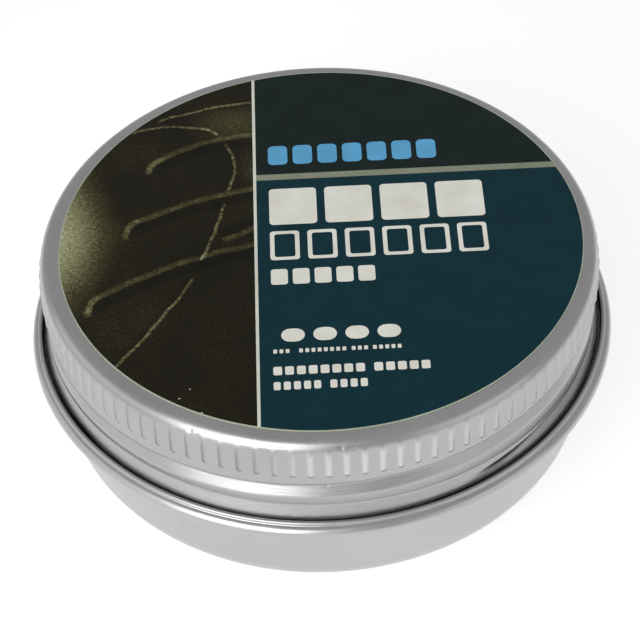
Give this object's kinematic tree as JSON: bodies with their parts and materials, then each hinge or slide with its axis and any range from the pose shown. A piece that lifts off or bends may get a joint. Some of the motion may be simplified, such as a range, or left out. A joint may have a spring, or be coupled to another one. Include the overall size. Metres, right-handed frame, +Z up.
{
  "type": "shoe polish tin",
  "caption": "Round aluminium screw-lid tin of black wax shoe polish, with a knurled lid, a beaded can, a sealing disc and printed paper labels.",
  "frame": {"origin": "middle of the plane the tin stands on", "axes": "+Z up along the tin's axis, -Y towards the front, where the label reads upright"},
  "size_m": [0.068, 0.068, 0.025],
  "materials": {
    "base_can": "satin",
    "lid": "satin",
    "liner": "matte",
    "polish": "satin",
    "lid_label": "satin",
    "base_label": "satin"
  },
  "bodies": {
    "can": {"base_can": "base_can", "polish": "polish", "base_label": "base_label"},
    "disc": {"liner": "liner"},
    "cap": {"lid": "lid", "lid_label": "lid_label"}
  },
  "joints": [
    {"name": "lid_lift", "type": "slide", "parent": "can", "child": "disc", "axis": [0, 0, 1], "range_m": [0, 0.0127]},
    {"name": "lid_turn", "type": "hinge", "parent": "disc", "child": "cap", "pos_m": [0, 0, 0.0243], "axis": [0, 0, 1], "range_deg": [0, 1080]}
  ],
  "couplings": [
    {"joint": "lid_lift", "follows": "lid_turn", "m_per_rad": 0.00066845}
  ]
}
